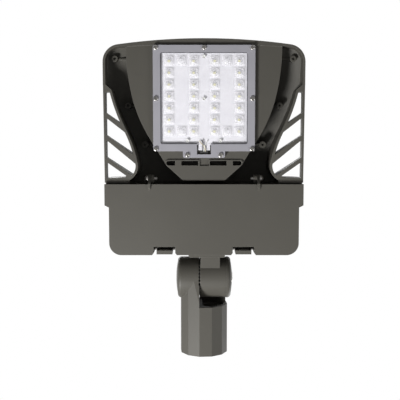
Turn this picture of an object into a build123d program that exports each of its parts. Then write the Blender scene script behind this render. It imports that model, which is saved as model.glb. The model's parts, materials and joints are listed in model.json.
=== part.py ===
from build123d import *
import math
import os

# Adjustable street light head, in millimetres.
# The origin is the middle of the pole socket's mouth. The socket opens towards +Y, the nose points
# to -Y, the LEDs face down (-Z) and X runs across the head.

# Plan, measured from the pole socket's mouth
nose_y = -450.6            # middle of the bowed front edge
nose_corner_y = -439.2     # where the bowed edge would meet the side
nose_band = 7.8            # width of the rim across the nose
pedestal_corner_x = 108.5
pedestal_corner_y = -439.0
side_x = 140.6             # half width over the rim
side_end_x = 139.4         # half width over the rim beside the compartment
corner_radius = 24.0
box_front_y = -256.5       # front lip of the gear compartment
door_front_y = -248.7
wing_end_y = -250.6        # clear of the door's front edge as it swings
box_shoulder_y = -219.0    # where the compartment steps in
box_end_y = -151.2         # outer face of the end wall
box_rear_x = 133.4
box_corner_radius = 17.0

# Heights
rim_z = -34.0              # lower edge of rim and side walls
plate_z = -32.0            # face that the LED module is screwed to
box_rim_z = -31.0          # lower edge of the compartment's walls, behind the door
door_z = -40.0             # outer face of the door
nose_top_z = -6.0
roof_z = 38.0              # top of the compartment
roof_front_y = -240.0      # where the sloping top reaches that height
crown_radius = 700.0       # bow of the top from side to side
wall = 3.4
plate_thickness = 6.0

# Cooling fins over the LED module
fin_pitch = 10.0
fin_thickness = 3.2
fin_rows = 9               # slots on each side of the middle one

# Raised panel with slots, between the LED module and the compartment
panel_y = -282.6
panel_x = 55.0
slot_y = -278.0
slot_width = 6.4

# Screw bosses in the side channels: X, Y, lower end, radius and length of the web to the pedestal
channel_boss_places = (
    (125.6, -424.2, -18.0, 4.4, 20.0),
    (108.6, -359.4, -4.0, 4.6, 13.0),
    (85.4, -303.6, 4.0, 4.8, 15.0),
)

# LED module
module_x = 70.8
module_front_y = -441.0
module_back_y = -294.7
window_x = 60.6
window_front_y = -431.1
window_back_y = -304.8
tab_x = 29.4
tab_back_y = -285.6
frame_z = -38.0
base_z = -33.2             # lower face of the aluminium backing plate
board_z = -34.6            # lower face of the circuit board
lens_plate_z = -36.4
lens_columns = (-48.8, -31.6, -14.5, 14.5, 31.6, 48.8)
lens_rows = 7
lens_first_y = -419.2
lens_pitch = 16.18
lens_size = 12.4
lens_height = 3.4
blank_columns = (-31.6, 31.6)   # columns with a blank lens at each end and none between
thread_radius = 1.62
module_screw_places = (
    (-67, -437.2), (0, -437.2), (67, -437.2),
    (-67, -367.5), (67, -367.5),
    (-67, -297.8), (67, -297.8),
    (-23.2, -289.4), (23.2, -289.4),
)

# Tilting knuckle and pole socket
knuckle_y = -110.0
knuckle_radius = 30.0
disc_left_x = -40.2
tooth_middle_x = -6.4      # middle of the gap between the two toothed faces
tooth_gap = 0.4            # the faces are drawn slackened, as when the head is being set
tooth_depth = 1.5
tooth_count = 36
barrel_end_x = 32.0
cap_end_x = 41.2
bolt_radius = 5.0
bolt_clearance = 0.3
arm_left_x = -4.8
arm_right_x = 23.0
arm_z = 24.0               # half height of the arm
duct_x = 14.0
duct_z = 13.5
duct_radius = 6.5
gland_seat_y = -160.4
tube_corner_radius = 34.6
tube_sides = 12
tube_turn = 19.0
tube_cut_y = -71.6
bore_radius = 30.5
bore_depth = 62.0
set_screw_places = (-17.0, -45.0)
set_screw_radius = 4.0

# Door hinge and latches
hinge_y = -256.0
hinge_z = -28.0
hinge_pin_radius = 2.5
ear_x = 75.0
ear_thickness = 3.4
lug_width = 4.5
latch_x = 55.7             # middle of each latch
latch_width = 22.4
notch_width = 30.4
notch_y = -160.4
latch_pivot_y = -153.6
latch_pivot_z = -12.0
latch_pin_radius = 2.0
running_gap = 0.08


def block(x0, x1, y0, y1, z0, z1):
    size = Box(abs(x1 - x0), abs(y1 - y0), abs(z1 - z0))
    return Pos((x0 + x1) / 2, (y0 + y1) / 2, (z0 + z1) / 2) * size


def rod_x(x0, x1, y, z, radius):
    return Pos((x0 + x1) / 2, y, z) * Rot(0, 90, 0) * Cylinder(radius, abs(x1 - x0))


def rod_y(y0, y1, x, z, radius):
    return Pos(x, (y0 + y1) / 2, z) * Rot(90, 0, 0) * Cylinder(radius, abs(y1 - y0))


def rod_z(z0, z1, x, y, radius):
    return Pos(x, y, (z0 + z1) / 2) * Cylinder(radius, abs(z1 - z0))


def both_sides(shapes):
    return shapes + [mirror(shape, about=Plane.YZ) for shape in shapes]


def mirrored_face(edges):
    """Face from the edges of its right half, which start and end at X = 0."""
    half = Curve() + edges
    return make_face((half + mirror(half, about=Plane.YZ)).edges())


def rounded_polygon(points, radius):
    face = make_face(Polyline(*points, close=True))
    return fillet(face.vertices(), radius)


def prism(face, z0, z1):
    return extrude(Pos(0, 0, z0) * face, amount=z1 - z0, dir=(0, 0, 1))


def round_corners(face, x, y, radius):
    """Round the corners of a flat face at X = x or -x and Y = y."""
    picked = [v for v in face.vertices() if abs(abs(v.X) - x) < 0.2 and abs(v.Y - y) < 0.2]
    return fillet(picked, radius)


# Plan outlines

def body_face():
    """The LED part: full width at the nose, then drawn in by S-shaped walls towards the compartment."""
    face = mirrored_face([
        ThreePointArc((0, nose_y), (side_x / 2, nose_y + 2.85), (side_x, nose_corner_y)),
        Line((side_x, nose_corner_y), (side_x, -386)),
        Line((side_x, -386), (131.6, -378)),
        ThreePointArc((131.6, -378), (123.2, -350), (112.2, -324)),
        ThreePointArc((112.2, -324), (101.6, -298), (96, -275)),
        ThreePointArc((96, -275), (99.2, -263.5), (108, box_front_y)),
        Line((108, box_front_y), (108, -235)),
        Line((108, -235), (0, -235)),
    ])
    return round_corners(face, side_x, nose_corner_y, corner_radius)


def box_face(inset=0.0):
    """The gear compartment, with its shoulders and rounded rear corners."""
    front = side_end_x - 0.6 - inset
    rear = box_rear_x - 0.4 - inset
    rear_y = box_end_y - inset
    outline = mirrored_face([
        Line((0, box_front_y), (front, box_front_y)),
        Line((front, box_front_y), (front, box_shoulder_y - inset / 2)),
        Line((front, box_shoulder_y - inset / 2), (rear, box_shoulder_y + 3.5 - inset / 2)),
        Line((rear, box_shoulder_y + 3.5 - inset / 2), (rear, rear_y)),
        Line((rear, rear_y), (0, rear_y)),
    ])
    return round_corners(outline, rear, rear_y, box_corner_radius - inset)


def pedestal_face(inset=0.0):
    """The goblet-shaped raised plate that carries the LED module."""
    face = mirrored_face([
        ThreePointArc((0, nose_y + nose_band), (56, nose_y + nose_band + 0.95),
                      (pedestal_corner_x, pedestal_corner_y)),
        ThreePointArc((pedestal_corner_x, pedestal_corner_y), (105.4, -397), (98.8, -364)),
        ThreePointArc((98.8, -364), (88.6, -336), (74.0, -309)),
        Line((74.0, -309), (52.4, -274.5)),
        Line((52.4, -274.5), (29.5, -254)),
        Line((29.5, -254), (0, -254)),
    ])
    return offset(face, amount=-inset) if inset else face


def crown(drop=0.0):
    """Solid under the bowed top, or under a surface that lies a given distance inside it."""
    top = [
        Line((0, -452, -60), (0, -452, nose_top_z - drop)),
        Spline((0, -452, nose_top_z - drop), (0, -350, 24 - drop), (0, roof_front_y, roof_z - drop),
               tangents=((0, 1, 0.37), (0, 1, 0))),
        Line((0, roof_front_y, roof_z - drop), (0, -172, roof_z - drop)),
        ThreePointArc((0, -172, roof_z - drop), (0, -157.4 - drop, 31.8 - drop), (0, box_end_y - drop, 17 - drop)),
        Line((0, box_end_y - drop, 17 - drop), (0, box_end_y - drop, -60)),
        Line((0, box_end_y - drop, -60), (0, -452, -60)),
    ]
    bow_axis = Axis((0, 0, -crown_radius), (0, 1, 0))
    bowed = revolve(make_face(top).rotate(bow_axis, -15), bow_axis, 30)
    edge_x = side_x + 0.4 - drop
    shoulders = mirrored_face([
        Line((0, -61), (edge_x, -61)),
        Line((edge_x, -61), (edge_x, -2)),
        ThreePointArc((edge_x, -2), (edge_x - 7.5, 17 - 0.3 * drop), (112 - drop, 31 - drop)),
        Line((112 - drop, 31 - drop), (90, 60)),
        Line((90, 60), (0, 60)),
    ])
    return bowed & extrude(Plane.XZ * shoulders, amount=460)


# Housing

def channel_pockets():
    """Deep channels each side of the pedestal, open downwards, that meet in front of the compartment."""
    inside = offset(body_face(), amount=-wall)
    behind = block(-150, 150, box_front_y + 9.5, -200, -60, 70)
    nose = block(-pedestal_corner_x, pedestal_corner_x, nose_y - 5, pedestal_corner_y, -60, 70)
    pockets = prism(inside, rim_z - 1, 60) & crown(wall)
    return pockets - behind - nose - prism(pedestal_face(), rim_z - 2, 70)


def channel_bosses():
    under_roof = crown(wall / 2)
    bosses = []
    for x, y, z, radius, web_length in channel_boss_places:
        boss = rod_z(z, 60, x, y, radius) - rod_z(z - 1, z + 5, x, y, 1.7)
        web = block(x - web_length, x - radius / 2, y - 1.2, y + 1.2, z + 6, 60)
        bosses += both_sides([(boss + web) & under_roof])
    return bosses


def wing_windows():
    """Four slanted openings each side, which leave three slats between the rim and the body."""
    outlines = (
        ((137.2, -376.8), (137.1, -348.6), (100, -321.5), (100, -376.8)),
        ((137.0, -341.6), (136.9, -317.4), (88, -281.5), (88, -303.2)),
        ((136.8, -310.6), (136.7, -286.4), (86, -249.5), (86, -268.6)),
        ((136.6, -279.6), (136.4, -256.8), (106.5, -258.4)),
    )
    return [prism(rounded_polygon(points, 1.5), rim_z - 1, 60) for points in outlines]


def wing():
    """Right-hand wing: the rim's side bar and three slats that deepen towards the body."""
    plan = make_face(Polyline((92, -400), (side_x, -400), (side_end_x, wing_end_y), (92, wing_end_y), close=True))
    side_view = Plane.XZ * make_face(Polyline(
        (92, rim_z), (92, 12), (134, -17), (141, -19.5), (141, rim_z), close=True))
    wedge = extrude(side_view, amount=500)
    slab = prism(plan, rim_z, 60) & wedge
    return slab - wing_windows() - prism(offset(body_face(), amount=-1.2), rim_z - 1, 60)


def fin_slots():
    """Slots from above that leave thin lengthwise fins on the plate over the LED module."""
    bay = pedestal_face(7.0)
    limit = block(-150, 150, -445, -292, -60, 60)
    fin_gap = fin_pitch - fin_thickness
    slots = []
    for step in range(-fin_rows, fin_rows + 1):
        x = step * fin_pitch
        slots.append(Pos(x, -366) * Rectangle(fin_gap, 148))
    outline = bay & (Sketch() + slots)
    return prism(outline, plate_z + plate_thickness, 70) & limit


def module_recess():
    """Shallow recess for the LED module, which leaves the panel with the slots standing proud."""
    panel = Pos(0, panel_y + 30) * RectangleRounded(2 * panel_x, 60, 5)
    wire_notch = block(-6, 7, panel_y - 1, panel_y + 8.3, rim_z - 1, plate_z)
    return prism(pedestal_face() - panel, rim_z - 1, plate_z) + wire_notch


def slotted_bar():
    """Row of slots through the raised panel: two long ones, and two short ones with a round outer end."""
    long_slot = Pos(19.95, slot_y) * Rectangle(23.3, slot_width)
    short_slot = Pos(43.3, slot_y) * Rectangle(5.4, slot_width) + Pos(46.6, slot_y) * SlotOverall(12.2, slot_width)
    return both_sides([prism(long_slot, rim_z - 1, -16), prism(short_slot, rim_z - 1, -16)])


def hinge_lug():
    """Lug on the compartment's front wall that takes a hinge pin."""
    outline = make_face([
        Line((0, -246, -29.4), (0, hinge_y, hinge_z - 5.5)),
        ThreePointArc((0, hinge_y, hinge_z - 5.5), (0, hinge_y - 5.5, hinge_z), (0, hinge_y, hinge_z + 5.5)),
        Line((0, hinge_y, hinge_z + 5.5), (0, -246, hinge_z + 9)),
        Line((0, -246, hinge_z + 9), (0, -246, -29.4)),
    ])
    lug = extrude(Pos(ear_x - 0.3 - lug_width, 0, 0) * outline, amount=lug_width, dir=(1, 0, 0))
    return lug - rod_x(60, 80, hinge_y, hinge_z, hinge_pin_radius)


def latch_recess():
    """Recess in the end wall for one latch, with the pin holes in its cheeks."""
    half = notch_width / 2
    recess = block(latch_x - half, latch_x + half, notch_y + 2.1, box_end_y + 5, rim_z - 5, 3.5)
    pin = rod_x(latch_x - half - 5.2, latch_x + half + 5.2, latch_pivot_y, latch_pivot_z, latch_pin_radius)
    return [recess, pin]


def latch_backing():
    """Thicker end wall behind a latch recess."""
    half = notch_width / 2 + 3.4
    return block(latch_x - half, latch_x + half, notch_y - 1.4, box_end_y - 1, box_rim_z, 8)


def compartment():
    """Inside of the gear compartment, open downwards."""
    room = prism(box_face(wall), -60, 60) & crown(wall)
    room = room & block(-150, 150, box_front_y + 13.0, box_end_y - wall, -60, 60)
    return room - both_sides([latch_backing()])


def gear_bosses():
    """Pads under the roof that the gear is screwed to, and the cable gland's seat on the end wall."""
    under_roof = crown(1)
    pads = []
    for x, y, z in driver_screw_places + block_screw_places:
        pads.append(block(x - 4.5, x + 4.5, y - 4.5, y + 4.5, z, 60) & under_roof)
    seat = block(duct_x - 13, duct_x + 13, gland_seat_y, box_end_y - 1, 2, 60)
    return pads + [seat & under_roof]


def screw_holes():
    holes = []
    for x, y in module_screw_places:
        holes.append(rod_z(plate_z - 1, plate_z + 4.5, x, y, thread_radius))
    for x, y, z in driver_screw_places + block_screw_places:
        holes.append(rod_z(z - 1, z + 6, x, y, thread_radius))
    return holes


def knuckle_profile(points_in, radius):
    """Outline in the XY plane of a disc with a softly domed outer face, to spin about the tilt axis."""
    inner_x, rim_x, outer_x = points_in
    side = 1 if outer_x > inner_x else -1
    shoulder = (outer_x - 2.4 * side, radius - 5.5)
    return make_face([
        Line((inner_x, 0), (inner_x, radius)),
        Line((inner_x, radius), (rim_x, radius)),
        ThreePointArc((rim_x, radius), (outer_x - 3.9 * side, radius - 1.4), shoulder),
        ThreePointArc(shoulder, (outer_x - 0.7 * side, radius * 0.45), (outer_x, 0)),
        Line((outer_x, 0), (inner_x, 0)),
    ])


def knuckle_disc(inner_x, rim_x, outer_x):
    disc = revolve(knuckle_profile((inner_x, rim_x, outer_x), knuckle_radius), Axis.X, 360)
    return Pos(0, knuckle_y, 0) * disc


def tooth_cutters(face_x, inward):
    """V grooves that run out to nothing at the tilt axis, for one toothed face."""
    reach = knuckle_radius + 2
    half_pitch = math.pi * reach / tooth_count
    root_x = face_x + inward * tooth_depth * reach / knuckle_radius
    groove = make_face(Polyline(
        (face_x - inward * 0.01, reach, -half_pitch), (root_x, reach, 0),
        (face_x - inward * 0.01, reach, half_pitch), close=True))
    tip = Vertex(face_x - inward * 0.01, 0, 0)
    cutter = loft([groove, tip])
    turn = 360 / tooth_count
    return [Pos(0, knuckle_y, 0) * Rot(turn * step, 0, 0) * cutter for step in range(tooth_count)]


def barrel_and_arm():
    face_x = tooth_middle_x + tooth_gap / 2
    barrel = rod_x(face_x, barrel_end_x, knuckle_y, 0, knuckle_radius - 0.5)
    arm = block(arm_left_x, arm_right_x, knuckle_y - 8, box_end_y - 3, -arm_z, arm_z)
    root = block(-22, 30, box_end_y + 8.0, box_end_y - 2, -arm_z - 4.5, arm_z - 2)
    barrel = barrel - tooth_cutters(face_x, 1)
    return barrel + arm + fillet(root.edges().filter_by(Axis.Z), 3)


def housing():
    body = (prism(body_face(), rim_z, 60) & crown()) + (prism(box_face(), rim_z, 60) & crown())
    body = body - channel_pockets() - fin_slots()
    body = body - module_recess()
    body = body - compartment()
    body = body + both_sides([latch_backing()]) + gear_bosses()
    body = body - block(-150, 150, door_front_y - 2.6, box_end_y + 10, rim_z - 2, box_rim_z)
    body = body - block(-150, 150, door_front_y - 2.6, door_front_y + 0.2, rim_z - 2, box_rim_z + 3)
    body = body + both_sides([wing(), hinge_lug()]) + channel_bosses() + barrel_and_arm()
    body = body - slotted_bar() - both_sides(latch_recess()) - screw_holes()
    body = body - rod_x(-20, 45, knuckle_y, 0, bolt_radius + bolt_clearance)
    body = body - rod_y(gland_seat_y - 2, knuckle_y + 40, duct_x, duct_z, duct_radius)
    return body


# Pole spigot

def spigot_tube(y0, y1):
    outline = Plane.XZ.offset(-y0) * RegularPolygon(tube_corner_radius, tube_sides, rotation=tube_turn)
    return extrude(outline, amount=y0 - y1)


def spigot_neck():
    """Faceted neck that narrows from the tube to the toothed disc."""
    reach = tube_corner_radius
    side_view = make_face([
        Line((0, tube_cut_y, -reach), (0, tube_cut_y, reach)),
        Line((0, tube_cut_y, reach), (0, knuckle_y, knuckle_radius)),
        ThreePointArc((0, knuckle_y, knuckle_radius), (0, knuckle_y - knuckle_radius, 0),
                      (0, knuckle_y, -knuckle_radius)),
        Line((0, knuckle_y, -knuckle_radius), (0, tube_cut_y, -reach)),
    ])
    face_x = tooth_middle_x - tooth_gap / 2
    slab = extrude(Pos(-40, 0, 0) * side_view, amount=40 + face_x, dir=(1, 0, 0))
    return slab & spigot_tube(tube_cut_y, knuckle_y - knuckle_radius)


def pole_spigot():
    face_x = tooth_middle_x - tooth_gap / 2
    disc = knuckle_disc(face_x, -33.0, disc_left_x)
    tube = spigot_tube(0, tube_cut_y)
    bosses = []
    for y in set_screw_places:
        bosses.append(rod_z(bore_radius, 39, 0, y, 8.5))
    spigot = disc + spigot_neck() + tube + bosses
    spigot = spigot - rod_y(0, -bore_depth, 0, 0, bore_radius)
    hollow = rod_y(-bore_depth - 4, tube_cut_y - 1, 0, 0, bore_radius - 1)
    spigot = spigot - (hollow & block(tooth_middle_x + 4, 50, -80, 0, -50, 50))
    spigot = spigot - rod_y(-bore_depth + 1, -bore_depth - 5, 10, 8, 11)
    spigot = spigot - tooth_cutters(face_x, -1)
    spigot = spigot - rod_x(-50, 0, knuckle_y, 0, bolt_radius + 0.1)
    spigot = spigot - rod_x(-50, disc_left_x + 9, knuckle_y, 0, 9.8)
    for y in set_screw_places:
        spigot = spigot - rod_z(20, 50, 0, y, set_screw_radius)
    return spigot


def pole_set_screws():
    screws = []
    for y in set_screw_places:
        screw = rod_z(bore_radius + 0.15, 42.5, 0, y, set_screw_radius - 0.02)
        socket = Pos(0, y, 40) * extrude(RegularPolygon(2.3, 6), amount=4)
        screws.append(screw - socket)
    return screws


def hex_prism_x(x0, x1, y, z, across_corners):
    outline = RegularPolygon(across_corners, 6)
    return Pos(x0, y, z) * Rot(0, 90, 0) * extrude(outline, amount=x1 - x0)


def tilt_bolt():
    shaft = rod_x(disc_left_x + 2, cap_end_x - 4, knuckle_y, 0, bolt_radius)
    head = rod_x(cap_end_x - 7.6, cap_end_x + 0.6, knuckle_y, 0, 8.0)
    head = chamfer(head.edges().filter_by(GeomType.CIRCLE), 0.8)
    return shaft + head - hex_prism_x(cap_end_x - 4, cap_end_x + 2, knuckle_y, 0, 4.6)


def tilt_nut():
    nut = hex_prism_x(disc_left_x + 1.2, disc_left_x + 8.9, knuckle_y, 0, 9.2)
    return nut - rod_x(-50, 0, knuckle_y, 0, bolt_radius + 0.02)


def knuckle_cap():
    cap = knuckle_disc(barrel_end_x + 0.05, cap_end_x - 7.0, cap_end_x)
    cap = cap - rod_x(0, 50, knuckle_y, 0, bolt_radius + bolt_clearance)
    return cap - rod_x(cap_end_x - 8, 50, knuckle_y, 0, 8.5)


# LED module

def module_outline(inset=0.0):
    main_x = module_x - inset
    outline = make_face(Polyline(
        (-main_x, module_front_y + inset), (main_x, module_front_y + inset), (main_x, module_back_y - inset),
        (tab_x - inset, module_back_y - inset), (tab_x - inset, tab_back_y - inset),
        (-tab_x + inset, tab_back_y - inset), (-tab_x + inset, module_back_y - inset),
        (-main_x, module_back_y - inset), close=True))
    corners = [v for v in outline.vertices() if abs(v.Y - module_back_y + inset) > 0.1 or abs(v.X) > 50]
    return fillet(corners, 2.5)


def window_outline(margin=0.0):
    middle_y = (window_front_y + window_back_y) / 2
    width = 2 * (window_x + margin)
    length = window_back_y - window_front_y + 2 * margin
    return Pos(0, middle_y) * RectangleRounded(width, length, 3)


def screw(x, y, z, length):
    """Pan head on a short shank, head downwards."""
    head = Pos(0, 0, -1.2) * Cone(2.4, 3.4, 2.4)
    return Pos(x, y, z) * (head + rod_z(-0.5, length, 0, 0, thread_radius - 0.02))


def module_base():
    return prism(window_outline(1.6), base_z, plate_z)


def module_frame():
    frame = prism(module_outline(), frame_z, plate_z) - prism(window_outline(), frame_z - 1, plate_z + 1)
    frame = frame - prism(window_outline(2.0), frame_z + 1.4, plate_z + 1)
    entry = block(-9.8, 9.6, window_back_y - 1, -290.4, frame_z - 1, plate_z + 1)
    frame = frame - entry
    for x, y in module_screw_places:
        frame = frame - rod_z(frame_z - 1, plate_z + 1, x, y, 1.7)
    return frame


def lens_places():
    """Places of the lenses that cover an LED, and of the four blank ones in the end rows."""
    lit = []
    blank = []
    for row in range(lens_rows):
        for x in lens_columns:
            place = (x, lens_first_y + row * lens_pitch)
            if x not in blank_columns:
                lit.append(place)
            elif row in (0, lens_rows - 1):
                blank.append(place)
    return lit, blank


def led_chips():
    lit, blank = lens_places()
    return [block(x - 1.9, x + 1.9, y - 1.9, y + 1.9, board_z - 0.7, board_z) for x, y in lit]


def led_board():
    board = prism(window_outline(1.2), board_z, base_z)
    tongue = block(-8.5, 8.5, window_back_y - 1, -296, board_z, base_z)
    return board + tongue


def lens_plate():
    plate = prism(window_outline(1.0), lens_plate_z, board_z)
    lit, blank = lens_places()
    half = lens_size / 2
    bases = []
    domes = []
    for x, y in lit + blank:
        bases.append(block(x - half, x + half, y - half, y + half, lens_plate_z - 0.5, lens_plate_z + 0.2))
        outline = Pos(x, y, lens_plate_z) * RegularPolygon(5.4, 8)
        domes.append(extrude(outline, amount=lens_height, dir=(0, 0, -1), taper=28))
    pockets = [block(x - 2.3, x + 2.3, y - 2.3, y + 2.3, board_z - 0.9, board_z + 1) for x, y in lit]
    return plate + bases + domes - pockets


def module_screws():
    return [screw(x, y, frame_z - 0.02, 10) for x, y in module_screw_places]


def wire_entry_block():
    body = block(-5.2, 4.8, -301.2, -292.2, frame_z + 0.2, plate_z - 0.1)
    body = chamfer(body.edges().filter_by(Axis.Y), 0.6)
    body = body - block(-8.6, 8.6, -297, -290, board_z - 0.1, plate_z + 1)
    return body - block(-8.6, 8.6, -302, -295.9, board_z - 0.1, plate_z + 1)


# Gear in the compartment

driver_x = (-114.0, -4.0)
driver_y = (-236.0, -176.0)
driver_z = (-14.0, 18.0)
driver_screw_places = ((-120.0, -206.0, driver_z[1]), (2.0, -206.0, driver_z[1]))
block_screw_places = ((58.0, -226.0, 14.0), (92.0, -226.0, 14.0), (62.0, -190.0, 14.0), (106.0, -190.0, 14.0))


def led_driver():
    case = block(*driver_x, *driver_y, *driver_z)
    case = fillet(case.edges().filter_by(Axis.X), 2.5)
    feet = block(driver_x[0] - 11, driver_x[1] + 11, -214, -198, driver_z[1] - 2.2, driver_z[1])
    driver = case + feet
    for x, y, z in driver_screw_places:
        driver = driver - rod_z(z - 5, z + 1, x, y, 1.8)
    return driver


def gear_screws():
    driver_screws = [screw(x, y, z - 2.25, 7) for x, y, z in driver_screw_places]
    block_screws = [screw(x, y, z - 3.25, 8) for x, y, z in block_screw_places]
    return driver_screws + block_screws


def terminal_block():
    base = block(52, 98, -231, -221, 11, 14)
    body = block(63, 87, -235, -217, -8, 14)
    body = body - [rod_z(-9, -3, x, -226, 2.4) for x in (67, 75, 83)]
    body = body - [block(x - 1.6, x + 1.6, -236, -216, 2.4, 5.6) for x in (67, 75, 83)]
    block_body = base + body
    for x, y, z in block_screw_places[:2]:
        block_body = block_body - rod_z(z - 5, z + 1, x, y, 1.8)
    return block_body


def surge_protector():
    body = fillet(block(68, 100, -204, -176, -12, 14).edges().filter_by(Axis.Z), 3)
    feet = block(56, 112, -195, -185, 11, 14)
    body = body + feet
    for x, y, z in block_screw_places[2:]:
        body = body - rod_z(z - 5, z + 1, x, y, 1.8)
    return body


def cable_gland():
    flange = Pos(duct_x, gland_seat_y, duct_z) * Rot(90, 0, 0) * extrude(RegularPolygon(11, 6), amount=5)
    nut = rod_y(gland_seat_y - 5, gland_seat_y - 15, duct_x, duct_z, 9.2)
    nut = chamfer(nut.edges().sort_by(Axis.Y)[0], 2.5)
    return flange + nut - rod_y(gland_seat_y + 1, gland_seat_y - 20, duct_x, duct_z, 4.2)


# Door

def door_outline(inset=0.0):
    front_x = side_end_x - inset
    rear_x = box_rear_x - inset
    rear_y = -148.6 - inset
    front_y = door_front_y + inset
    face = mirrored_face([
        Line((0, front_y), (front_x, front_y)),
        Line((front_x, front_y), (front_x, box_shoulder_y - inset / 2)),
        Line((front_x, box_shoulder_y - inset / 2), (rear_x, box_shoulder_y + 3 - inset / 2)),
        Line((rear_x, box_shoulder_y + 3 - inset / 2), (rear_x, rear_y)),
        Line((rear_x, rear_y), (0, rear_y)),
    ])
    face = round_corners(face, rear_x, rear_y, box_corner_radius - inset)
    half = notch_width / 2 + inset
    notch_front = notch_y - inset
    notch = make_face(Polyline(
        (latch_x - half, notch_front), (latch_x + half, notch_front), (latch_x + half, rear_y - 3 + inset),
        (latch_x + half + 3, rear_y + 1 + inset), (latch_x - half - 3, rear_y + 1 + inset),
        (latch_x - half, rear_y - 3 + inset), close=True))
    return face - [notch, mirror(notch, about=Plane.YZ)]


def door_ear():
    """Hinge ear: a rib on the door's face that runs on over its front edge to the hinge pin."""
    outline = make_face([
        Line((0, -240, door_z + 0.5), (0, -243.5, door_z - 3)),
        Line((0, -243.5, door_z - 3), (0, -249.5, door_z - 3)),
        Line((0, -249.5, door_z - 3), (0, hinge_y - 5.3, hinge_z - 3)),
        ThreePointArc((0, hinge_y - 5.3, hinge_z - 3), (0, hinge_y - 2.3, hinge_z + 5.6),
                      (0, hinge_y + 5.3, hinge_z + 3)),
        Line((0, hinge_y + 5.3, hinge_z + 3), (0, -247.6, -33)),
        Line((0, -247.6, -33), (0, -246, door_z + 0.5)),
        Line((0, -246, door_z + 0.5), (0, -240, door_z + 0.5)),
    ])
    ear = extrude(Pos(ear_x, 0, 0) * outline, amount=ear_thickness, dir=(1, 0, 0))
    return ear - rod_x(70, 80, hinge_y, hinge_z, hinge_pin_radius + running_gap)


def door():
    skirt_z = box_rim_z - 0.3
    tray = prism(door_outline(), door_z, skirt_z) - prism(door_outline(3.0), door_z + 2.8, skirt_z + 1)
    ribs = [block(-128, 128, y - 1, y + 1, door_z + 2, door_z + 5.5) for y in (-225, -195, -172)]
    return tray + ribs + both_sides([door_ear()])


def door_gasket():
    ring = prism(door_outline(3.3), door_z + 5.8, box_rim_z - 0.15)
    return ring - prism(door_outline(6.6), door_z + 5, box_rim_z + 1)


def hinge_pin():
    """Shoulder screw with a domed head, through the door's ear into the housing's lug."""
    head_x = ear_x + ear_thickness + 0.3
    head = rod_x(head_x, head_x + 5.0, hinge_y, hinge_z, 5.0)
    head = chamfer(head.edges().filter_by(GeomType.CIRCLE).sort_by(Axis.X)[-1], 2.4)
    return head + rod_x(ear_x - 9, head_x + 1, hinge_y, hinge_z, hinge_pin_radius - 0.01)


# Latches

def latch():
    """Right-hand latch: a lever in the end wall with a thumb lip level with the door and an inward nose."""
    half = latch_width / 2
    outline = make_face([
        Line((0, -155.2, door_z + 0.6), (0, -149.6, door_z + 0.6)),
        Line((0, -149.6, door_z + 0.6), (0, -150.2, latch_pivot_z)),
        ThreePointArc((0, -150.2, latch_pivot_z), (0, latch_pivot_y, latch_pivot_z + 3.4),
                      (0, -157.0, latch_pivot_z)),
        Line((0, -157.0, latch_pivot_z), (0, -156.0, -24)),
        Line((0, -156.0, -24), (0, -155.2, door_z + 0.6)),
    ])
    lever = extrude(Pos(latch_x - half, 0, 0) * outline, amount=latch_width, dir=(1, 0, 0))
    nose = block(latch_x - 7, latch_x + 7, -156.4, -154, -37.4, -35.2)
    lever = lever + nose
    return lever - rod_x(30, 80, latch_pivot_y, latch_pivot_z, latch_pin_radius + running_gap)


def latch_pin():
    reach = notch_width / 2 + 5
    return rod_x(latch_x - reach, latch_x + reach, latch_pivot_y, latch_pivot_z, latch_pin_radius - 0.01)


def solids_of(made):
    pieces = made if isinstance(made, list) else [made]
    return [solid for piece in pieces for solid in piece.solids()]


nodes = {
    "pole_spigot": pole_spigot,
    "pole_set_screws": pole_set_screws,
    "tilt_bolt": tilt_bolt,
    "tilt_nut": tilt_nut,
    "housing": housing,
    "knuckle_cap": knuckle_cap,
    "module_base": module_base,
    "module_frame": module_frame,
    "module_screws": module_screws,
    "led_board": led_board,
    "led_chips": led_chips,
    "lens_plate": lens_plate,
    "wire_entry_block": wire_entry_block,
    "led_driver": led_driver,
    "terminal_block": terminal_block,
    "surge_protector": surge_protector,
    "gear_screws": gear_screws,
    "cable_gland": cable_gland,
    "door": door,
    "door_gasket": door_gasket,
    "hinge_pins": lambda: both_sides([hinge_pin()]),
    "latch_right": latch,
    "latch_left": lambda: mirror(latch(), about=Plane.YZ),
    "latch_pins": lambda: both_sides([latch_pin()]),
}

os.makedirs("parts", exist_ok=True)
for name, make in nodes.items():
    solids = solids_of(make())
    export_step(Compound(children=solids), f"parts/{name}.step")
    print(name, len(solids), "solids", round(sum(solid.volume for solid in solids)), "mm3")
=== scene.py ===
import json
import math

import bmesh
import bpy
from mathutils import Matrix, Vector

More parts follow.
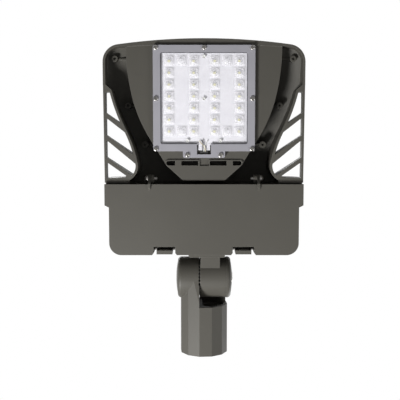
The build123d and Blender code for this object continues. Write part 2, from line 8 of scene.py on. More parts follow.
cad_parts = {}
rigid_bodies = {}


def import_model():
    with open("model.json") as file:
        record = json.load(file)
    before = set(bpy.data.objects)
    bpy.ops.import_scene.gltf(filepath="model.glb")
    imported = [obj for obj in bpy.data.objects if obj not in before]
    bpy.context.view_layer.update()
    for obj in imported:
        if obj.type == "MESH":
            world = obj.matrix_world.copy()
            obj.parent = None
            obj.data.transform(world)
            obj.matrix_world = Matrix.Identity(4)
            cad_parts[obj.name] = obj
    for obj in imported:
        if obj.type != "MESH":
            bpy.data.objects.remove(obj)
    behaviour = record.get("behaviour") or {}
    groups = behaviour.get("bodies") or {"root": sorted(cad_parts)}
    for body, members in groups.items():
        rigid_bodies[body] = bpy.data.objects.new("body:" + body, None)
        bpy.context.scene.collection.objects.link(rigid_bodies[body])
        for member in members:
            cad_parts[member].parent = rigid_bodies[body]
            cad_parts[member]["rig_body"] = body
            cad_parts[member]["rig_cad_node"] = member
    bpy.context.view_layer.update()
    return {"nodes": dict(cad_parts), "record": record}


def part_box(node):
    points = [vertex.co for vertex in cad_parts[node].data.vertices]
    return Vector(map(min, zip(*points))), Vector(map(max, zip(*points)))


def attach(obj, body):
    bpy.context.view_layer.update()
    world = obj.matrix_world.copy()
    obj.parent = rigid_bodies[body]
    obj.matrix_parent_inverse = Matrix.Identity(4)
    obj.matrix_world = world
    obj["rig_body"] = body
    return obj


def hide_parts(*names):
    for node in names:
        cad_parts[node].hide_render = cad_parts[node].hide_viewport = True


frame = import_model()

record = frame["record"]

# Adjustable street light head, in metres. The LEDs face down (-Z), the nose points to -Y and the
# pole socket opens towards +Y. The camera looks up at it from below, as in the photograph.


# Modelling helpers

# corners sharper than this many degrees stay crisp
crispOver = {"casting": 32, "spigot": 24, "box": 40, "rod": 40, "lensPlate": 45, "dome": 50, "lead": 60}
weldWithin = 0.000002


def link(item):
    bpy.context.scene.collection.objects.link(item)
    return item


def deselectAll():
    active = bpy.context.object
    if active and active.mode != "OBJECT":
        bpy.ops.object.mode_set(mode="OBJECT")
    bpy.ops.object.select_all(action="DESELECT")


def pick(*pieces):
    deselectAll()
    for piece in pieces:
        piece.select_set(True)
    bpy.context.view_layer.objects.active = pieces[0]


def edit(piece, mode="FACE"):
    pick(piece)
    bpy.ops.object.mode_set(mode="EDIT")
    bpy.ops.mesh.select_mode(type=mode)
    bpy.ops.mesh.select_all(action="DESELECT")


def selectFaces(piece, test):
    # test gets each face, and says whether it is taken
    mesh = bmesh.from_edit_mesh(piece.data)
    for face in mesh.faces:
        face.select_set(test(face))
    bmesh.update_edit_mesh(piece.data)


def facesDown(face):
    return face.normal.z < -0.99


def finishEdit():
    bpy.ops.object.mode_set(mode="OBJECT")


def settle(piece, name=None):
    # the piece's place goes into its mesh, and its object to the origin
    pick(piece)
    bpy.ops.object.transform_apply(location=True, rotation=True, scale=True)
    if name:
        piece.name = name
        piece.data.name = name
    return piece


def applyModifier(piece, kind, **settings):
    pick(piece)
    modifier = piece.modifiers.new(kind.lower(), kind)
    for key, value in settings.items():
        setattr(modifier, key, value)
    bpy.ops.object.modifier_apply(modifier=modifier.name)
    return piece


def combine(piece, tool, operation):
    # the tool is used up
    applyModifier(piece, "BOOLEAN", operation=operation, object=tool, solver="EXACT")
    bpy.data.objects.remove(tool)
    return piece


def smooth(piece, degrees):
    pick(piece)
    bpy.ops.object.shade_smooth_by_angle(angle=math.radians(degrees))
    return piece


def joined(pieces, name):
    pick(*pieces)
    if len(pieces) > 1:
        bpy.ops.object.join()
    return settle(bpy.context.object, name)


def copyTo(piece, places):
    # one copy of the mesh at each place, and the pattern itself is removed
    copies = []
    for place in places:
        twin = piece.copy()
        twin.data = piece.data.copy()
        link(twin).location = place
        copies.append(settle(twin))
    bpy.data.objects.remove(piece)
    return copies


def boxPiece(name, low, high, bevel=0.0):
    low, high = Vector(low), Vector(high)
    bpy.ops.mesh.primitive_cube_add(size=1, location=(low + high) / 2, scale=high - low)
    piece = settle(bpy.context.object, name)
    if bevel:
        edit(piece, "EDGE")
        bpy.ops.mesh.select_all(action="SELECT")
        bpy.ops.mesh.bevel(offset=bevel, segments=2, affect="EDGES")
        finishEdit()
        smooth(piece, crispOver["box"])
    return piece


def rodPiece(name, centre, radius, length, axis="Z", sides=24, bevel=0.0):
    turns = {"X": (0, math.pi / 2, 0), "Y": (math.pi / 2, 0, 0), "Z": (0, 0, 0)}
    bpy.ops.mesh.primitive_cylinder_add(
        vertices=sides, radius=radius, depth=length, location=centre, rotation=turns[axis])
    piece = settle(bpy.context.object, name)
    if bevel:
        applyModifier(piece, "BEVEL", width=bevel, segments=3, limit_method="ANGLE", angle_limit=1.0)
    return smooth(piece, crispOver["rod"])


def lead(name, points, radius, sides=3):
    # a short fixed wire on one smooth line
    curve = bpy.data.curves.new(name, "CURVE")
    curve.dimensions = "3D"
    curve.bevel_depth = radius
    curve.bevel_resolution = sides
    curve.use_fill_caps = True
    spline = curve.splines.new("NURBS")
    spline.points.add(len(points) - 1)
    for point, place in zip(spline.points, points):
        point.co = (*place, 1.0)
    spline.order_u = 3
    spline.use_endpoint_u = True
    spline.resolution_u = 8
    pick(link(bpy.data.objects.new(name, curve)))
    bpy.ops.object.convert(target="MESH")
    return smooth(bpy.context.object, crispOver["lead"])


def dressed(node, name, finish, slot, degrees):
    # a smooth-shaded copy of a casting, which stands for the plain CAD node
    source = frame["nodes"][node]
    piece = source.copy()
    piece.data = source.data.copy()
    link(piece)
    piece.parent = None
    piece.matrix_world = Matrix.Identity(4)
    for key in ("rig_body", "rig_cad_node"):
        if key in piece:
            del piece[key]
    piece.name = name
    piece.data.name = name
    edit(piece, "VERT")
    bpy.ops.mesh.select_all(action="SELECT")
    bpy.ops.mesh.customdata_custom_splitnormals_clear()
    bpy.ops.mesh.remove_doubles(threshold=weldWithin)
    finishEdit()
    smooth(piece, degrees)
    give(piece, finish, slot)
    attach(piece, source["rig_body"])
    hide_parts(node)
    return piece


def give(piece, finish, slot):
    piece.data.materials.clear()
    piece.data.materials.append(finish)
    return piece


# Materials, whose sums are written as plain expressions

class Value:
    # one number, colour or direction on its way through a material
    def __init__(self, finish, socket):
        self.finish = finish
        self.socket = socket

    def sum(self, operation, first, second=0.0):
        return self.finish.node("ShaderNodeMath", {"operation": operation}, {0: first, 1: second})

    def __add__(self, other):
        return self.sum("ADD", self, other)

    def __radd__(self, other):
        return self.sum("ADD", other, self)

    def __rsub__(self, other):
        return self.sum("SUBTRACT", other, self)

    def __mul__(self, other):
        return self.sum("MULTIPLY", self, other)

    def __rmul__(self, other):
        return self.sum("MULTIPLY", other, self)

    def __pow__(self, other):
        return self.sum("POWER", self, other)

    def clamped(self):
        return self.finish.node("ShaderNodeClamp", {}, {"Value": self})


class Finish:
    def __init__(self, name, colour=(0.8, 0.8, 0.8), roughness=0.5, metallic=0.0):
        self.material = bpy.data.materials.new(name)
        self.material.use_nodes = True
        self.tree = self.material.node_tree
        self.surface = self.tree.nodes["Principled BSDF"]
        self.set("Base Color", colour)
        self.set("Roughness", roughness)
        self.set("Metallic", metallic)

    def node(self, kind, settings, inputs, output=0):
        made = self.tree.nodes.new(kind)
        for key, value in settings.items():
            setattr(made, key, value)
        for key, value in inputs.items():
            self.join(made.inputs[key], value)
        return Value(self, made.outputs[output])

    def join(self, socket, value):
        if isinstance(value, Value):
            self.tree.links.new(value.socket, socket)
            return
        needed = len(socket.default_value) if hasattr(socket.default_value, "__len__") else 1
        # a colour is given without its opacity
        socket.default_value = (*value, 1.0) if needed == 4 and len(value) == 3 else value

    def set(self, name, value):
        self.join(self.surface.inputs[name], value)

    def place(self):
        return self.node("ShaderNodeTexCoord", {}, {}, "Object")

    def stretched(self, scale):
        return self.node("ShaderNodeMapping", {}, {"Vector": self.place(), "Scale": scale})

    def noise(self, scale, detail=3.0, roughness=0.55, at=None):
        inputs = {"Vector": at or self.place(), "Scale": scale, "Detail": detail, "Roughness": roughness}
        return self.node("ShaderNodeTexNoise", {}, inputs, "Fac")

    def between(self, value, low, high):
        # 0 below low and 1 above high
        inputs = {"Value": value, "From Min": low, "From Max": high}
        return self.node("ShaderNodeMapRange", {"clamp": True}, inputs)

    def mixed(self, factor, first, second):
        return self.node("ShaderNodeMix", {"data_type": "RGBA"}, {0: factor, 6: first, 7: second}, 2)

    def rounded(self, radius):
        return self.node("ShaderNodeBevel", {"samples": 4}, {"Radius": radius})

    def edges(self, radius):
        # 1 on the corners of the shape, and 0 on its flats
        flat = self.node("ShaderNodeNewGeometry", {}, {}, "Normal")
        turn = self.node("ShaderNodeVectorMath", {"operation": "DOT_PRODUCT"},
                         {0: self.rounded(radius), 1: flat}, "Value")
        flatBelow, cornerAbove = 0.02, 0.22
        return self.between(1 - turn, flatBelow, cornerAbove)

    def bump(self, height, distance, strength=1.0, normal=None):
        inputs = {"Height": height, "Distance": distance, "Strength": strength}
        if normal:
            inputs["Normal"] = normal
        self.set("Normal", self.node("ShaderNodeBump", {}, inputs))


def grained(name, look):
    # a surface with one fine grain, whose colour follows a second, broader noise where the look has a cloud
    finish = Finish(name, metallic=look.get("metallic", 0.0))
    at = finish.stretched(look["stretch"]) if "stretch" in look else None
    grain = finish.noise(look["grain"], look["detail"], at=at)
    cloud = finish.noise(look["cloud"], detail=4.0) if "cloud" in look else grain
    finish.set("Base Color", finish.mixed(cloud, look["dark"], look["light"]))
    finish.set("Roughness", look["roughness"] + grain * look["spread"])
    corner = finish.rounded(look["corner"]) if "corner" in look else None
    finish.bump(grain, look["depth"], look["strength"], corner)
    return finish.material


def powderCoat():
    # fine-textured dark grey powder coat on die-cast aluminium, lighter along its corners, partly as
    # abrasion and partly as a painted edge highlight
    coat = {"dark": (0.068, 0.064, 0.053), "light": (0.087, 0.082, 0.070), "abradedAndHighlitTone": (0.25, 0.245, 0.225),
            "grain": 1500.0, "speckleBand": (0.35, 0.68), "cloud": 14.0, "cloudShare": 0.55,
            "speckleShare": 0.45, "scuff": 90.0, "scuffBand": (0.45, 0.62), "edge": 0.0009, "abrasionAndHighlight": 0.22,
            "scuffAbrasionAndHighlight": 0.3, "roughness": 0.44, "cloudSpread": 0.12, "speckleSpread": 0.06, "gloss": 0.4,
            "depth": 0.00012, "strength": 0.35, "corner": 0.0007}
    finish = Finish("powder_coat")
    grain = finish.noise(coat["grain"], detail=2.0)
    cloud = finish.noise(coat["cloud"], detail=4.0)
    speckle = finish.between(grain, *coat["speckleBand"])
    share = (cloud * coat["cloudShare"] + speckle * coat["speckleShare"]).clamped()
    tone = finish.mixed(share, coat["dark"], coat["light"])
    scuff = finish.between(finish.noise(coat["scuff"], detail=5.0), *coat["scuffBand"])
    # corners are mixed towards a light grey: partly edge abrasion, and partly a painted highlight along
    # every edge
    abrasionAndHighlight = finish.edges(coat["edge"]) * (coat["abrasionAndHighlight"] + scuff * coat["scuffAbrasionAndHighlight"])
    finish.set("Base Color", finish.mixed(abrasionAndHighlight, tone, coat["abradedAndHighlitTone"]))
    spread = cloud * coat["cloudSpread"] + speckle * coat["speckleSpread"]
    finish.set("Roughness", coat["roughness"] + spread)
    finish.set("Specular IOR Level", coat["gloss"])
    finish.bump(grain, coat["depth"], coat["strength"], finish.rounded(coat["corner"]))
    return finish.material


def stainless():
    return grained("stainless_steel", {
        "dark": (0.56, 0.54, 0.51), "light": (0.68, 0.66, 0.63), "metallic": 1.0, "grain": 900.0,
        "detail": 3.0, "stretch": (1.0, 1.0, 0.12), "cloud": 160.0, "roughness": 0.22, "spread": 0.16,
        "depth": 0.00003, "strength": 0.4, "corner": 0.0002})


def bareAluminium():
    return grained("bare_aluminium", {
        "dark": (0.66, 0.66, 0.67), "light": (0.76, 0.76, 0.77), "metallic": 1.0, "grain": 700.0,
        "detail": 3.0, "stretch": (0.05, 1.0, 1.0), "roughness": 0.28, "spread": 0.2,
        "depth": 0.00003, "strength": 0.4})


def driverCase():
    # brushed sheet metal
    return grained("driver_case", {
        "dark": (0.26, 0.26, 0.27), "light": (0.34, 0.34, 0.35), "metallic": 0.6, "grain": 650.0,
        "detail": 3.0, "stretch": (0.04, 1.0, 1.0), "cloud": 20.0, "roughness": 0.46, "spread": 0.18,
        "depth": 0.00004, "strength": 0.4, "corner": 0.0006})


def whiteBoard():
    # white solder mask, faintly clouded, over a glass laminate
    return grained("white_board", {
        "dark": (0.80, 0.79, 0.84), "light": (0.90, 0.89, 0.93), "grain": 1800.0, "detail": 1.0,
        "cloud": 60.0, "roughness": 0.3, "spread": 0.15, "depth": 0.00002, "strength": 0.3})


def phosphor():
    return grained("led_phosphor", {
        "dark": (0.74, 0.66, 0.26), "light": (0.86, 0.80, 0.42), "grain": 2600.0, "detail": 2.0,
        "roughness": 0.35, "spread": 0.2, "depth": 0.00004, "strength": 0.5})


def moulding(name, dark, light, roughness, grain=1100.0, edge=0.0004):
    # moulded plastic with a fine spark texture and slightly lighter corners, which are a painted edge
    # highlight
    mould = {"cloud": 30.0, "highlightLift": 1.25, "cornerHighlightShare": 0.35, "spread": 0.12, "depth": 0.00006,
             "strength": 0.4}
    finish = Finish(name)
    fine = finish.noise(grain, detail=2.0)
    tone = finish.mixed(finish.noise(mould["cloud"], detail=4.0), dark, light)
    # the corners are lifted to a lighter colour as a painted highlight along the edges
    corner = [min(1.0, part * mould["highlightLift"]) for part in light]
    finish.set("Base Color", finish.mixed(finish.edges(edge) * mould["cornerHighlightShare"], tone, corner))
    finish.set("Roughness", roughness + fine * mould["spread"])
    finish.bump(fine, mould["depth"], mould["strength"], finish.rounded(edge))
    return finish.material


def clearPlastic(name, body, rim):
    # clear polycarbonate: body is its alpha face on, and rim is added where it turns away
    clear = {"colour": (0.99, 0.99, 1.0), "blend": 0.35, "power": 1.6, "ripple": 140.0, "roughness": 0.04,
             "spread": 0.06, "bend": 1.6, "coat": 0.5, "coatRoughness": 0.04, "depth": 0.00004,
             "strength": 0.3}
    finish = Finish(name, clear["colour"])
    facing = finish.node("ShaderNodeLayerWeight", {}, {"Blend": clear["blend"]}, "Facing")
    ripple = finish.noise(clear["ripple"], detail=2.0)
    finish.set("Alpha", (body + rim * facing ** clear["power"]).clamped())
    finish.set("Roughness", clear["roughness"] + ripple * clear["spread"])
    finish.set("IOR", clear["bend"])
    finish.set("Coat Weight", clear["coat"])
    finish.set("Coat Roughness", clear["coatRoughness"])
    finish.bump(ripple, clear["depth"], clear["strength"])
    return finish.material


finishes = {
    "painted_casting": powderCoat(),
    "stainless_steel": stainless(),
    "bare_aluminium": bareAluminium(),
    "driver_case": driverCase(),
    "grey_plastic": moulding("grey_plastic", (0.29, 0.285, 0.315), (0.35, 0.345, 0.375), 0.42),
    "white_board": whiteBoard(),
    "led_phosphor": phosphor(),
    "clear_lens": clearPlastic("clear_lens", body=0.03, rim=0.35),
    "white_plastic": moulding("white_plastic", (0.72, 0.72, 0.70), (0.82, 0.82, 0.80), 0.38),
    "black_plastic": moulding("black_plastic", (0.022, 0.022, 0.023), (0.040, 0.040, 0.041), 0.42),
    "seal_rubber": moulding("seal_rubber", (0.035, 0.035, 0.036), (0.06, 0.06, 0.062), 0.62, grain=700.0),
}
# dark grey that paints the shade along the inner bevel of the bezel's window
paintedShadeStepFinish = moulding("painted_shade_step_plastic", (0.10, 0.10, 0.115), (0.14, 0.14, 0.155), 0.5)
frostedLens = clearPlastic("frosted_lens", body=0.30, rim=0.5)

# the dark and the light tone of each lead's sleeve
sleeveTones = {
    "black": ((0.02, 0.02, 0.02), (0.035, 0.035, 0.035)),
    "white": ((0.74, 0.74, 0.72), (0.84, 0.84, 0.82)),
    "cream": ((0.56, 0.50, 0.34), (0.68, 0.62, 0.46)),
    "blue": ((0.03, 0.10, 0.36), (0.05, 0.14, 0.45)),
    "brown": ((0.11, 0.045, 0.02), (0.16, 0.07, 0.035)),
    "green": ((0.05, 0.26, 0.05), (0.08, 0.34, 0.08)),
}
sleeves = {}
for colour, (dark, light) in sleeveTones.items():
    sleeves[colour] = moulding(colour + "_sleeve", dark, light, 0.35, edge=0.0001)

slotOf = {part["node"]: part["material_slot"] for part in record["subparts"]}
for node, piece in frame["nodes"].items():
    piece.data.materials.clear()
    piece.data.materials.append(finishes[slotOf[node]])
print("materials ready:", len(finishes) + len(sleeves))


# Castings, smooth-shaded where they are round

castings = {
    "housing": "castHousing", "pole_spigot": "castSpigot", "knuckle_cap": "castKnuckleCap",
    "door": "castDoor", "latch_right": "latchLeverRight", "latch_left": "latchLeverLeft",
    "hinge_pins": "hingePinHeads", "latch_pins": "latchRods", "tilt_bolt": "tiltBoltSteel",
    "tilt_nut": "tiltNutSteel", "pole_set_screws": "poleSetScrewsSteel", "cable_gland": "cableGlandNylon",
    "door_gasket": "doorSealStrip", "module_frame": "moduleBezel", "module_base": "moduleBacking",
    "led_board": "ledCircuitBoard",
}
for node, name in castings.items():
    degrees = crispOver["spigot"] if node == "pole_spigot" else crispOver["casting"]
    dressed(node, name, finishes[slotOf[node]], slotOf[node], degrees)
print("castings dressed:", len(castings))


# LED module: chips, lenses and posts

lens = {"columns": (0.0145, 0.0316, 0.0488), "blankColumn": 0.0316, "firstRow": -0.4192, "pitch": 0.01618,
        "rows": 7, "baseSide": 0.0124, "baseStep": 0.0005, "domeRadius": 0.0050, "domeHeight": 0.0033,
        "plateFace": -0.0364, "boardFace": -0.0346, "plateEdge": 0.0004, "baseEdge": 0.0003,
        "boardGap": 0.0001, "sink": 0.0002}


def lensPlaces():
    lit, blank = [], []
    for row in range(lens["rows"]):
        y = lens["firstRow"] + row * lens["pitch"]
        for column in lens["columns"]:
            for x in (-column, column):
                if column != lens["blankColumn"]:
                    lit.append((x, y, 0.0))
                elif row in (0, lens["rows"] - 1):
                    blank.append((x, y, 0.0))
    return lit, blank


def lensArray():
    low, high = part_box("lens_plate")
    face, half = lens["plateFace"], lens["baseSide"] / 2
    plate = boxPiece("lensPlate", (low.x, low.y, face),
                     (high.x, high.y, lens["boardFace"] - lens["boardGap"]), lens["plateEdge"])
    base = boxPiece("lensBase", (-half, -half, face - lens["baseStep"]),
                    (half, half, face + lens["sink"]), lens["baseEdge"])
    radius, height = lens["domeRadius"], lens["domeHeight"]
    bpy.ops.mesh.primitive_uv_sphere_add(segments=24, ring_count=14, radius=1.0,
                                         location=(0, 0, face), scale=(radius, radius, height))
    dome = settle(bpy.context.object, "lensDome")
    edit(dome, "VERT")
    bpy.ops.mesh.select_all(action="SELECT")
    bpy.ops.mesh.bisect(plane_co=(0, 0, face), plane_no=(0, 0, 1), use_fill=True, clear_outer=True)
    finishEdit()
    smooth(dome, crispOver["dome"])
    # each lens is one closed skin, and so is the plate with all its lenses
    combine(base, dome, "UNION")
    lit, blank = lensPlaces()
    lenses = joined(copyTo(base, lit + blank), "lenses")
    combine(plate, lenses, "UNION")
    piece = settle(smooth(plate, crispOver["lensPlate"]), "lensArray")
    give(piece, finishes["clear_lens"], "clear_lens")
    # the raised lens squares are faintly frosted, and the sheet between them is clear
    piece.data.materials.append(frostedLens)
    edit(piece)
    selectFaces(piece, lambda side: side.calc_center_median().z < face - lens["boardGap"])
    bpy.context.object.active_material_index = 1
    bpy.ops.object.material_slot_assign()
    finishEdit()
    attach(piece, "head")
    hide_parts("lens_plate")


def ledPackages():
    # white ceramic package, its dished phosphor and two solder pads
    chip = {"side": 0.0038, "height": 0.0007, "rim": 0.00045, "depth": 0.0002, "step": 0.0002,
            "padOut": 0.0021, "padHalf": (0.0006, 0.0012), "padThick": 0.00008}
    board, half = lens["boardFace"], chip["side"] / 2
    package = boxPiece("ledPackage", (-half, -half, board - chip["height"]), (half, half, board))
    package.data.materials.append(finishes["white_plastic"])
    package.data.materials.append(finishes["led_phosphor"])
    edit(package)
    selectFaces(package, facesDown)
    bpy.ops.mesh.inset(thickness=chip["rim"])
    bpy.ops.mesh.extrude_region_move(TRANSFORM_OT_translate={"value": (0, 0, chip["depth"])})
    bpy.context.object.active_material_index = 1
    bpy.ops.object.material_slot_assign()
    bpy.ops.mesh.inset(thickness=chip["step"])
    finishEdit()
    pads = []
    for centre in (-chip["padOut"], chip["padOut"]):
        wide, deep = chip["padHalf"]
        pad = boxPiece("pad", (centre - wide, -deep, board - chip["padThick"]), (centre + wide, deep, board))
        pad.data.materials.append(finishes["bare_aluminium"])
        pads.append(pad)
    lit = lensPlaces()[0]
    piece = joined(copyTo(joined([package] + pads, "ledPattern"), lit), "ledPackages")
    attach(piece, "head")
    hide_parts("led_chips")


def platePosts():
    # locating posts that stand through the lens plate, each with a shallow dish in its end
    post = {"radius": 0.0024, "length": 0.0012, "proud": 0.0003, "edge": 0.0004, "rim": 0.0007,
            "dish": 0.0006, "ends": (-0.4254, -0.3675), "pair": (0.0229, -0.3095)}
    side, back = post["pair"]
    places = [(0, y, 0) for y in post["ends"]] + [(-side, back, 0), (side, back, 0)]
    middle = (0, 0, lens["plateFace"] - post["proud"])
    pattern = rodPiece("post", middle, post["radius"], post["length"], sides=20, bevel=post["edge"])
    edit(pattern)
    selectFaces(pattern, facesDown)
    bpy.ops.mesh.inset(thickness=post["rim"])
    bpy.ops.mesh.extrude_region_move(TRANSFORM_OT_translate={"value": (0, 0, post["dish"])})
    finishEdit()
    piece = joined(copyTo(pattern, places), "platePosts")
    give(piece, finishes["white_plastic"], "white_plastic")
    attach(piece, "head")


# a cross-head screw's radius and height, and its other measures as shares of the two
screw = {"radius": 0.0034, "height": 0.0024, "rimDepth": 0.9, "dome": 0.6, "crossLong": 0.62,
         "crossShort": 0.15, "crossTop": 0.42}


def crossHead():
    # pan head with a cross recess, facing down from z = 0
    radius, height = screw["radius"], screw["height"]
    head = rodPiece("crossHead", (0, 0, -height / 2), radius, height, sides=28)
    edit(head, "EDGE")
    mesh = bmesh.from_edit_mesh(head.data)
    for edge in mesh.edges:
        edge.select_set(all(vert.co.z < -height * screw["rimDepth"] for vert in edge.verts))
    bmesh.update_edit_mesh(head.data)
    bpy.ops.mesh.bevel(offset=height * screw["dome"], segments=5, affect="EDGES")
    finishEdit()
    long, short = radius * screw["crossLong"], radius * screw["crossShort"]
    for x, y in ((long, short), (short, long)):
        cutter = boxPiece("cutter", (-x, -y, -height * 2), (x, y, -height * screw["crossTop"]))
        combine(head, cutter, "DIFFERENCE")
    return smooth(head, crispOver["rod"])


def moduleCrossScrews():
    # three along each side and the nose, and two beside the wire entry
    around = {"side": 0.067, "nose": -0.4372, "middle": -0.3675, "back": -0.2978,
              "entrySide": 0.0232, "entryBack": -0.2894}
    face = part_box("module_frame")[0].z
    side, entry = around["side"], around["entrySide"]
    places = [(x, around["nose"], face) for x in (-side, 0, side)]
    places += [(x, y, face) for y in (around["middle"], around["back"]) for x in (-side, side)]
    places += [(x, around["entryBack"], face) for x in (-entry, entry)]
    piece = joined(copyTo(crossHead(), places), "moduleCrossScrews")
    give(piece, finishes["stainless_steel"], "stainless_steel")
    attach(piece, "head")
    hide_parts("module_screws")


lensArray()
ledPackages()
platePosts()
moduleCrossScrews()
print("LED module dressed")


# Leads, the step round the bezel's window, and what closes the knuckle

def moduleLeads():
    # three leads from the entry block to the board's pads
    wire = {"radius": 0.00065, "proud": 0.0002}
    z = lens["plateFace"] - wire["proud"]
    routes = {
        "black": [(-0.0018, -0.2945, z), (-0.0019, -0.3010, z - 0.0006),
                  (-0.0012, -0.3060, z - 0.0008), (-0.0026, -0.3105, z)],
        "white": [(0.0000, -0.2945, z), (0.0000, -0.3010, z - 0.0004),
                  (0.0022, -0.3055, z - 0.0006), (0.0050, -0.3100, z)],
        "cream": [(0.0018, -0.2945, z), (0.0019, -0.3010, z - 0.0005),
                  (-0.0030, -0.3045, z - 0.0008), (-0.0064, -0.3092, z)],
    }
    for colour, points in routes.items():
        piece = lead("moduleLead_" + colour, points, wire["radius"])
        give(piece, sleeves[colour], "black_plastic" if colour == "black" else "white_plastic")
        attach(piece, "head")


def shadedWindowStep():
    # step round the bezel's window, open at the wire entry, coloured dark as painted shade of the window's
    # inner bevel
    step = {"x": 0.0606, "front": -0.4311, "back": -0.3048, "width": 0.0011, "entry": 0.0098,
            "proud": 0.0011, "sunk": 0.0001, "edge": 0.00025}
    low, high = lens["plateFace"] - step["proud"], lens["plateFace"] + step["sunk"]
    x, front, back, width, entry = step["x"], step["front"], step["back"], step["width"], step["entry"]
    bars = [((-x, front), (x, front + width)),
            ((-x, front), (-x + width, back)),
            ((x - width, front), (x, back)),
            ((-x, back - width), (-entry, back)),
            ((entry, back - width), (x, back))]
    pieces = [boxPiece("bar", (*near, low), (*far, high), step["edge"]) for near, far in bars]
    piece = joined(pieces, "shadedWindowStep")
    give(piece, paintedShadeStepFinish, "grey_plastic")
    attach(piece, "head")


def knuckleRing():
    # dust ring that closes the view between the two toothed faces
    ring = {"x": -0.0064, "axisY": -0.110, "radius": 0.0268, "hole": 0.0056, "thick": 0.0028,
            "edge": 0.0005, "cutLength": 0.02}
    centre = (ring["x"], ring["axisY"], 0)
    piece = rodPiece("knuckleRing", centre, ring["radius"], ring["thick"], "X", 48, ring["edge"])
    combine(piece, rodPiece("hole", centre, ring["hole"], ring["cutLength"], "X", 32), "DIFFERENCE")
    give(smooth(piece, crispOver["rod"]), finishes["seal_rubber"], "seal_rubber")
    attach(piece, "head")


def spigotShield():
    # the tube's far wall, which rises behind the barrel and closes the gap above the socket
    wall = {"outer": 0.0325, "inner": 0.0285, "front": -0.0806, "back": -0.0708, "left": -0.0062,
            "floor": 0.006, "edge": 0.0008, "cutReach": 0.05}
    middle, length = (wall["front"] + wall["back"]) / 2, wall["back"] - wall["front"]
    reach = wall["cutReach"]
    low = (-reach, middle - reach, -reach)
    piece = rodPiece("spigotShield", (0, middle, 0), wall["outer"], length, "Y", 64, wall["edge"])
    combine(piece, rodPiece("inner", (0, middle, 0), wall["inner"], reach, "Y", 64), "DIFFERENCE")
    for high in ((reach, middle + reach, wall["floor"]), (wall["left"], middle + reach, reach)):
        combine(piece, boxPiece("beyond", low, high), "DIFFERENCE")
    give(smooth(piece, crispOver["rod"]), finishes["painted_casting"], "painted_casting")
    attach(piece, "pole_spigot")


def gearLeads():
    # supply leads from the gland to the terminals, and on to the driver
    wire = {"radius": 0.0013, "sides": 4, "gland": (0.014, -0.170, 0.0135), "glandPitch": 0.0022,
            "driver": (-0.002, -0.206, -0.010), "driverPitch": 0.006,
            "terminals": {"brown": 0.067, "blue": 0.075, "green": 0.083}}

    def lay(name, colour, points):
        piece = lead(name + colour, points, wire["radius"], wire["sides"])
        give(piece, sleeves[colour], "black_plastic")
        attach(piece, "head")

    glandX, glandY, glandZ = wire["gland"]
    driverX, driverY, driverZ = wire["driver"]
    for step, (colour, x) in enumerate(wire["terminals"].items()):
        shift = wire["glandPitch"] * (step - 1)
        lay("gearLead_", colour, [
            (glandX + shift, glandY + 0.004, glandZ), (glandX + 0.006 + shift, glandY - 0.016, glandZ),
            (0.040 + shift, -0.196, 0.006), (x - 0.004, -0.199, 0.001), (x, -0.206, 0.001),
            (x, -0.214, 0.003)])
    for step, colour in enumerate(("brown", "blue")):
        x, y = wire["terminals"][colour], driverY + wire["driverPitch"] * (step - 0.5)
        lay("driverLead_", colour, [
            (driverX - 0.004, y, driverZ), (driverX + 0.014, y, driverZ), (0.030, y - 0.016, -0.004),
            (0.050, -0.236, 0.0), (x, -0.238, 0.002), (x, -0.230, 0.004)])


shadedWindowStep()
knuckleRing()
spigotShield()
gearLeads()
moduleLeads()
print("leads laid")


# Camera, at the photograph's angle

camera = {"aim": (-0.0056, -0.226708, -0.040), "tilt": 5.0, "distance": 1.0, "lens": 64.2857,
          "sensor": 36.0, "clipStart": 0.01}


def addCamera():
    tilt = math.radians(camera["tilt"])
    forward = Vector((0, math.sin(tilt), math.cos(tilt)))
    up = Vector((0, -math.cos(tilt), math.sin(tilt)))
    data = bpy.data.cameras.new("camera")
    data.lens = camera["lens"]
    data.sensor_width = camera["sensor"]
    data.clip_start = camera["clipStart"]
    item = link(bpy.data.objects.new("camera", data))
    place = Vector(camera["aim"]) - forward * camera["distance"]
    turn = Matrix((forward.cross(up), up, -forward)).transposed()
    item.matrix_world = Matrix.Translation(place) @ turn.to_4x4()
    bpy.context.scene.camera = item


# Studio: white backdrop, pale floor and soft lamps

studio = {"ambient": 0.1, "floorHeight": -1.7, "floorSize": 120.0, "floorSeen": 0.95, "floorShade": 0.3,
          "floorGlow": 0.8, "floorRoughness": 0.9, "lampsAim": (0, -0.25, 0)}
lamps = {
    "keyLamp": {"place": (-0.75, 0.65, -1.0), "size": 0.45, "power": 31.0},
    "fillLamp": {"place": (1.5, 0.3, -1.2), "size": 0.9, "power": 10.0},
    "topLamp": {"place": (-1.0, -1.3, 2.1), "size": 1.6, "power": 44.0},
    "backLamp": {"place": (1.4, 1.5, 1.5), "size": 1.4, "power": 26.0},
}


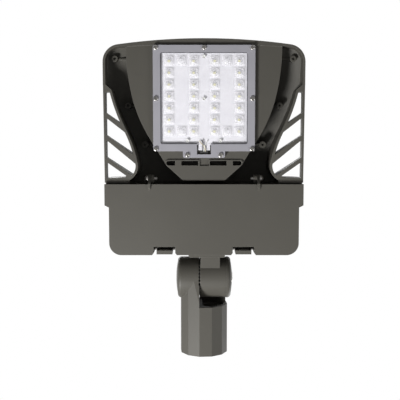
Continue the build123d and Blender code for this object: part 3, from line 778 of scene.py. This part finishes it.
def addWorld():
    # white to the camera and in reflections, and dim as a light
    world = bpy.data.worlds.new("studio")
    bpy.context.scene.world = world
    world.use_nodes = True
    tree = world.node_tree
    background = tree.nodes["Background"]
    background.inputs["Color"].default_value = (1, 1, 1, 1)
    rays = tree.nodes.new("ShaderNodeLightPath")
    seen = rays.outputs["Is Camera Ray"]
    for name in ("Is Glossy Ray", "Is Transmission Ray"):
        either = tree.nodes.new("ShaderNodeMath")
        either.operation = "MAXIMUM"
        tree.links.new(seen, either.inputs[0])
        tree.links.new(rays.outputs[name], either.inputs[1])
        seen = either.outputs[0]
    strength = tree.nodes.new("ShaderNodeMapRange")
    strength.inputs["To Min"].default_value = studio["ambient"]
    strength.inputs["To Max"].default_value = 1.0
    tree.links.new(seen, strength.inputs["Value"])
    tree.links.new(strength.outputs[0], background.inputs["Strength"])


def addFloor():
    bpy.ops.mesh.primitive_plane_add(size=studio["floorSize"], location=(0, 0, studio["floorHeight"]))
    floor = settle(bpy.context.object, "floor")
    pale = Finish("pale_floor", roughness=studio["floorRoughness"])
    seen = pale.node("ShaderNodeLightPath", {}, {}, "Is Camera Ray")
    shade, bright = studio["floorShade"], studio["floorSeen"]
    pale.set("Base Color", pale.mixed(seen, (shade, shade, shade), (bright, bright, bright)))
    glow = pale.node("ShaderNodeEmission", {}, {"Color": (1, 1, 1), "Strength": 1.0})
    lit = Value(pale, pale.surface.outputs[0])
    mixed = pale.node("ShaderNodeMixShader", {}, {0: seen * studio["floorGlow"], 1: lit, 2: glow})
    pale.tree.links.new(mixed.socket, pale.tree.nodes["Material Output"].inputs["Surface"])
    floor.data.materials.append(pale.material)


def addLamps():
    aim = Vector(studio["lampsAim"])
    for name, values in lamps.items():
        data = bpy.data.lights.new(name, "AREA")
        data.shape = "DISK"
        data.size = values["size"]
        data.energy = values["power"]
        item = link(bpy.data.objects.new(name, data))
        item.location = values["place"]
        item.rotation_euler = (aim - item.location).to_track_quat("-Z", "Y").to_euler()
        item.visible_camera = False


addCamera()
addWorld()
addFloor()
addLamps()
bpy.context.scene.view_settings.view_transform = "Standard"
print("camera and studio ready")

deselectAll()
